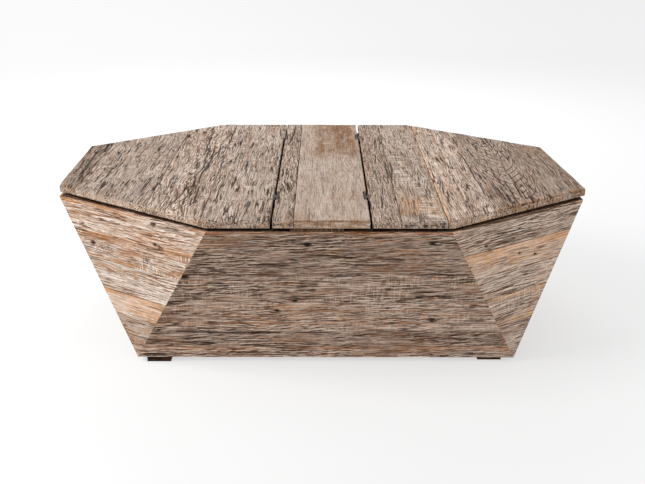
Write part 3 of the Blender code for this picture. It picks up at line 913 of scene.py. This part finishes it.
# Looks of single boards. On a lid board u runs from back to front and v from left to right. On a wall
# u runs from left to right, seen from outside, and v up. A crack is (u, v, half its length, lean), and
# a hole or a knot is (u, v, radius).
LOOKS = {
    "left_lid_board_1": changed(
        DUSKY, tan=0.2, gain=0.8, check_lean=0.09, checks=(900, 0.07, 2.4 * MM),
        cracks=((0.42, 0.66, 0.10, 0.09), (0.64, 0.75, 0.11, 0.09), (0.55, 0.40, 0.06, 0.08)),
        side_tan=0.7, side_pale=0.9, side_dark=0.2, hollow=0.0, tan_edges=(("end", 8 * MM),),
        saw_color=0.2,
    ),
    "left_lid_board_2": changed(
        BEIGE, gain=0.82, streak_dark=0.4, holes=((0.63, 0.30, 2.6 * MM),), saw_color=0.5,
        cracks=((0.34, 0.33, 0.03, 0.05), (0.79, 0.42, 0.02, 0.0)), side_pale=1.0, side_tan=0.2,
        side_dark=0.15, hollow=0.0, checks=(500, 0.04, 2.2 * MM),
    ),
    "left_lid_board_3": changed(
        BEIGE, gain=1.06, saw_color=0.25, holes=((0.87, 0.49, 3.2 * MM),),
        knots=((0.71, 0.24, 11 * MM),), streak_dark=0.9, ring_dark=0.8, bend=26 * MM,
        checks=(1100, 0.07, 2.6 * MM),
        cracks=(
            (0.39, 0.62, 0.06, -0.04), (0.37, 0.74, 0.08, 0.02), (0.36, 0.87, 0.09, 0.05),
            (0.55, 0.72, 0.18, -0.03), (0.64, 0.62, 0.14, -0.03), (0.30, 0.55, 0.10, -0.03),
            (0.79, 0.62, 0.07, -0.06), (0.80, 0.48, 0.06, -0.10), (0.80, 0.76, 0.07, 0.05),
        ),
        side_pale=0.9, side_tan=0.4,
    ),
    "left_lid_board_4": changed(
        BEIGE, gain=0.9, holes=((0.76, 0.64, 2.9 * MM), (0.57, 0.23, 2.9 * MM)),
        cracks=((0.51, 0.42, 0.045, 0.0), (0.65, 0.33, 0.025, 0.0), (0.25, 0.20, 0.04, 0.0)), pale=0.6,
        saw_color=0.35, side_tan=0.7, side_pale=0.2, side_dark=0.6, checks=(500, 0.04, 2.4 * MM),
    ),
    "centre_board_narrow": changed(
        BEIGE, gain=0.88, streak_dark=0.9, checks=(900, 0.05, 2.6 * MM),
        cracks=((0.15, 0.54, 0.12, -0.075), (0.81, 0.92, 0.045, -0.05)), side_dark=0.7,
    ),
    "centre_board_wide": changed(
        SMOOTH, tan_color=srgb(134, 95, 60), gain=0.87, tan_spots=((0.20, 0.60, 0.24, 0.36),), calm=0.3,
        cloudy=0.2, saw_color=0.25, side_tan=1.0, tan_edges=(("end", 6 * MM),),
        knots=((0.72, 0.08, 5 * MM), (0.72, 0.20, 4 * MM)),
    ),
    "right_lid_board_1": changed(
        DUSKY, gain=1.06, saw_color=0.3, cracks=((0.85, 0.46, 0.05, 0.0), (0.55, 0.90, 0.08, 0.0)),
        side_pale=0.6,
    ),
    "right_lid_board_2": changed(
        BEIGE, gain=0.9, saw_color=0.85, streak_dark=0.4, line_dark=0.7,
        cracks=((0.57, 0.04, 0.085, 0.0),), side_dark=1.0, rim=0.5, tan_spots=((0.88, 0.5, 0.07, 0.5),),
        tan_edges=(("high", 8 * MM),), pale_edges=(("end", 8 * MM),),
    ),
    "right_lid_board_3": changed(
        BEIGE, gain=1.18, saw_color=0.4, tan=0.25, tan_edges=(("low", 8 * MM), ("high", 5 * MM)),
        fleck=0.4, side_tan=0.8,
    ),
    "right_lid_board_4": changed(
        BEIGE, gain=1.12, side_dark=0.2, hollow=0.0, saw_color=0.3, fleck=0.5,
        cracks=((0.57, 0.90, 0.21, 0.02), (0.2, 0.93, 0.06, 0.02)), side_tan=0.8,
    ),
    "right_lid_board_5": changed(
        DUSKY, gain=1.02, side_dark=0.1, hollow=0.0, ring=(0.45, 0.060, 4.0), cathedral=0.045,
        ring_dark=0.95, side_tan=0.9, side_pale=0.5,
        cracks=(
            (0.81, 0.41, 0.10, -0.03), (0.67, 0.34, 0.09, 0.05), (0.85, 0.30, 0.06, 0.05),
            (0.74, 0.55, 0.10, -0.05),
        ),
        tan_edges=(("end", 14 * MM),),
    ),
    "right_lid_board_6": changed(
        DUSKY, tan=0.4, gain=0.89, side_dark=0.1, hollow=0.0, line_dark=0.6, side_tan=1.0,
        side_pale=0.5, tan_edges=(("end", 18 * MM),), round=3 * MM,
    ),
    "front_plank_1": changed(
        FRONT, tan_edges=(("high", 11 * MM),), gain=1.14, rim=1.0,
        cracks=((0.72, 0.38, 0.028, 0.0), (0.30, 0.25, 0.05, 0.01)),
        holes=((0.43, 0.72, 5.2 * MM), (0.85, 0.74, 5.2 * MM)),
    ),
    "front_plank_2": changed(
        FRONT, gain=1.33, saw_color=0.35, tan_spots=((0.835, 0.90, 0.012, 0.08),),
        cracks=((0.45, 0.46, 0.012, 0.0), (0.80, 0.18, 0.02, 0.02), (0.87, 0.20, 0.02, 0.0)),
        holes=((0.06, 0.95, 6.5 * MM), (0.40, 0.03, 3.9 * MM)),
    ),
    "front_plank_3": changed(
        FRONT, gain=1.45, saw_color=0.25, holes=((0.80, 0.40, 5.2 * MM), (0.36, 0.72, 3.9 * MM)),
        tan_spots=((0.45, 0.28, 0.40, 0.03),),
    ),
    "front_plank_4": changed(
        FRONT, gain=1.14, streak_dark=0.9, cracks=((0.20, 0.93, 0.10, 0.0), (0.33, 0.90, 0.05, 0.0)),
    ),
    "front_plank_5": changed(FRONT, gain=1.58, tan_edges=(("high", 6 * MM),)),
    "front_left_plank_1": changed(
        PALE, tan=0.6, cloudy=0.3, tan_edges=(("high", 11 * MM), ("low", 9 * MM)), gain=1.0, rim=1.0,
        pale=0.7, holes=((0.665, 0.81, 5.2 * MM), (0.68, 0.14, 3.9 * MM), (0.71, 0.04, 2.6 * MM)),
    ),
    "front_left_plank_2": changed(
        PALE, gain=0.9, cloudy=0.2, fleck=0.55,
        tan_edges=(("high", 15 * MM), ("low", 14 * MM), ("end", 10 * MM)), saw_color=1.0,
        saw_size=(0.0036, 0.024), tan=0.7, holes=((0.17, 0.58, 5.2 * MM),),
    ),
    "front_left_plank_3": changed(PALE, gain=0.9, pale=0.8, rust=0.25),
    "front_left_plank_4": changed(
        PALE, gain=1.08, cloudy=0.2, tan_edges=(("high", 14 * MM), ("end", 12 * MM)), tan=0.7,
        fleck=0.3, streak_dark=0.35, line_dark=0.4,
    ),
    "front_left_plank_5": changed(PALE, gain=0.74, rust=0.7, tan=0.4),
    "front_right_plank_1": changed(
        GREY, gain=1.58, rim=1.0, holes=((0.24, 0.18, 3.2 * MM),), streak_dark=0.9,
        cracks=((0.5, 0.975, 0.20, 0.0),), tan_edges=(("start", 2 * MM), ("high", 6 * MM)),
    ),
    "front_right_plank_2": changed(
        GREY, gain=2.7, tan=0.6, streak_dark=0.55, line_dark=0.6,
        tan_edges=(("high", 34 * MM), ("start", 2 * MM)),
        holes=((0.50, 0.57, 3.2 * MM), (0.65, 0.35, 3.0 * MM)),
    ),
    "front_right_plank_3": changed(GREY, gain=1.74, pale=0.7, tan_edges=(("start", 2 * MM),)),
    "front_right_plank_4": changed(
        GREY, gain=1.72, cloudy=0.2, tan_edges=(("high", 15 * MM), ("low", 13 * MM), ("start", 4 * MM)),
        tan=0.65, saw_color=0.5,
    ),
    "front_right_plank_5": changed(GREY, gain=1.38, tan_edges=(("start", 3 * MM),)),
}


def look_for(node):
    """The look of a board, chosen or common to its kind."""
    if node in LOOKS:
        return LOOKS[node]
    if "_plank" in node:
        return changed(HIDDEN, rim=1.0 if node.endswith("_1") else 0.0)
    return FOOT if "foot" in node else ROUGH


# The directions of a board's grain and of its seen face, by a word in its name.
AXES = {
    "board": ((0, -1, 0), (0, 0, 1)),
    "batten": ((1, 0, 0), (0, 0, -1)),
    "cleat": ((0, -1, 0), (0, 0, -1)),
    "floor": ((1, 0, 0), (0, 0, 1)),
    "foot": ((1, 0, 0), (0, 0, 1)),
}


def axes_of(node):
    """The directions of a board's grain and of its seen face."""
    for word, axes in AXES.items():
        if word in node:
            return axes
    normal = outward_normal(node)
    return Vector((0, 0, 1)).cross(normal), normal


def make_boards():
    for node in sorted(frame["nodes"]):
        if "hinge" in node:
            continue
        look = look_for(node)
        obj = Board(node, *axes_of(node), look, NOTCHES.get(node, ())).build()
        obj.data.materials.append(Wood(node + "_grain", look).material)
        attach(obj, frame["nodes"][node]["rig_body"])
        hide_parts(node)


# How a notch starts and ends: at once, or gently.
SHARP = 0.2 * MM
GENTLE = 30 * MM

# The hinges' rebates in the centre panel, with play at each end of a hinge.
REBATE_DEPTH = 9 * MM
REBATE_PLAY = 1.5 * MM

# At the back the right seam is worn wider and the left one is filled: from a, to a, and how deep.
RIGHT_SEAM_WEAR = (-0.47, -0.33, 1.8 * MM)
LEFT_SEAM_FILL = (-0.50, -0.28, 3.6 * MM)


def rebates(hinge_side, side):
    """The hinge rebates in the centre panel's edge."""
    cuts = []
    for place in ("front", "back"):
        low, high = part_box(f"{hinge_side}_{place}_hinge_pin")
        start, end = -high.y - REBATE_PLAY, -low.y + REBATE_PLAY
        cuts.append((start, end, side, REBATE_DEPTH, SHARP))
    return tuple(cuts)


def seam_notches():
    """Cuts in boards' long edges: (from a, to a, side, how deep, how gently they start)."""
    wear_start, wear_end, wear = RIGHT_SEAM_WEAR
    fill_start, fill_end, fill = LEFT_SEAM_FILL
    return {
        "left_lid_board_4": ((fill_start, fill_end, 1, -fill, GENTLE),),
        "centre_board_narrow": rebates("left", -1),
        "centre_board_wide": (*rebates("right", 1), (wear_start, wear_end, 1, wear, GENTLE)),
        "right_lid_board_1": ((wear_start, wear_end, -1, wear, GENTLE),),
    }


NOTCHES = seam_notches()

BLOTCHES = (0.006, 0.006)
FINE_RUST = (0.001, 0.001)


def steel_material():
    """Dark old steel with brown rust."""
    g = Graph("old_steel_rust")
    place = g.object_place((0.0, 0.0, 0.0))
    blotch = g.noise(place, BLOTCHES, 4.0, 0.6)
    fine = g.noise(place, FINE_RUST, 3.0)
    color = g.mix(g.ramp(blotch, 0.42, 0.62), srgb(50, 43, 38), srgb(76, 55, 42))
    color = g.mix(g.ramp(fine, 0.5, 0.7, 0.0, 0.5), color, srgb(88, 76, 66))
    g.feed(g.shader.inputs["Base Color"], color)
    g.feed(g.shader.inputs["Roughness"], g.ramp(blotch, 0.4, 0.65, 0.55, 0.9))
    g.shader.inputs["Metallic"].default_value = 0.35
    g.bump(blotch, 1.0, 0.2 * MM)
    return g.material


def finish_hinges():
    steel = steel_material()
    for name, node in frame["nodes"].items():
        if "hinge" in name:
            node.data.materials.clear()
            node.data.materials.append(steel)


# The stage: a pale floor, soft light and the camera.

FLOOR_HALF = 30.0
FLOOR_TONE = 0.36

# The floor's own glow, painted light from its emission, from its left to its right as the camera sees
# it: near the chest, and what is added from FAR_START to FAR_END behind it.
NEAR_GLOW = (0.60, 0.58)
FAR_GLOW = (0.14, 0.07)
FAR_START, FAR_END = 0.8, 5.5

# Left and right are measured as x over the distance in front of this eye, which has a least value.
EYE_DISTANCE = 2.6
LEAST_DISTANCE = 1.2
SWEEP_HALF = 0.34


def make_stage():
    mesh = bpy.data.meshes.new("floor")
    x = y = FLOOR_HALF
    mesh.from_pydata([(-x, -y, 0), (x, -y, 0), (x, y, 0), (-x, y, 0)], [], [(0, 1, 2, 3)])
    g = Graph("floor_pale")
    g.shader.inputs["Base Color"].default_value = (FLOOR_TONE, FLOOR_TONE, FLOOR_TONE, 1)
    g.shader.inputs["Roughness"].default_value = 0.9
    g.shader.inputs["Specular IOR Level"].default_value = 0.0
    g.shader.inputs["Emission Color"].default_value = (1, 1, 1, 1)
    g.feed(g.shader.inputs["Emission Strength"], painted_floor_glow(g))
    mesh.materials.append(g.material)
    add_object("floor", mesh)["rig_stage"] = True


def painted_floor_glow(g):
    """Painted light: the floor's emission stands in for the studio's light on it, and falls off towards
    the right.
    """
    across, back, _ = g.object_axes()
    distance = g.math("MAXIMUM", g.math("ADD", back, EYE_DISTANCE), LEAST_DISTANCE)
    sweep = g.math("DIVIDE", across, distance)
    near = g.ramp(sweep, -SWEEP_HALF, SWEEP_HALF, *NEAR_GLOW)
    far = g.ramp(sweep, -SWEEP_HALF, SWEEP_HALF, *FAR_GLOW)
    return g.math("ADD", near, g.times(g.ramp(back, FAR_START, FAR_END), far))


def area_light(name, place, target, size, power):
    data = bpy.data.lights.new(name, "AREA")
    data.shape = "RECTANGLE"
    data.size, data.size_y = size
    data.energy = power
    light = add_object(name, data)
    light.location = place
    aim = Vector(target) - Vector(place)
    light.rotation_euler = aim.to_track_quat("-Z", "Y").to_euler()


SKY_STRENGTH = 0.60


def make_lights():
    world = bpy.data.worlds.new("studio")
    bpy.context.scene.world = world
    world.use_nodes = True
    sky = world.node_tree.nodes["Background"]
    sky.inputs["Color"].default_value = (1, 1, 1, 1)
    sky.inputs["Strength"].default_value = SKY_STRENGTH
    area_light("key", place=(-3.0, -0.6, 2.6), target=(0, 0, 0.2), size=(2.0, 2.0), power=110)
    area_light("back", place=(0.3, 2.6, 2.4), target=(0, 0, 0.3), size=(2.5, 1.2), power=45)


CAMERA_PLACE = (0.0108, -2.2505, 1.071)
CAMERA_PITCH = math.radians(21.8)
CAMERA_ROLL = math.radians(0.10)
CAMERA_LENS = 46.88
CAMERA_SENSOR = 36.0


def make_camera():
    data = bpy.data.cameras.new("camera")
    data.sensor_width = CAMERA_SENSOR
    data.lens = CAMERA_LENS
    camera = add_object("camera", data)
    camera.location = CAMERA_PLACE
    level = Euler((math.pi / 2 - CAMERA_PITCH, 0, 0)).to_matrix()
    camera.rotation_euler = (level @ Matrix.Rotation(CAMERA_ROLL, 3, "Z")).to_euler()
    bpy.context.scene.camera = camera
    bpy.context.scene.view_settings.view_transform = "Standard"


make_camera()
make_lights()
make_stage()
make_boards()
finish_hinges()

sizes = {"cad": CAD_BOX, "visual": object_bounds()}
{name: [list(corner) for corner in box] for name, box in sizes.items()}
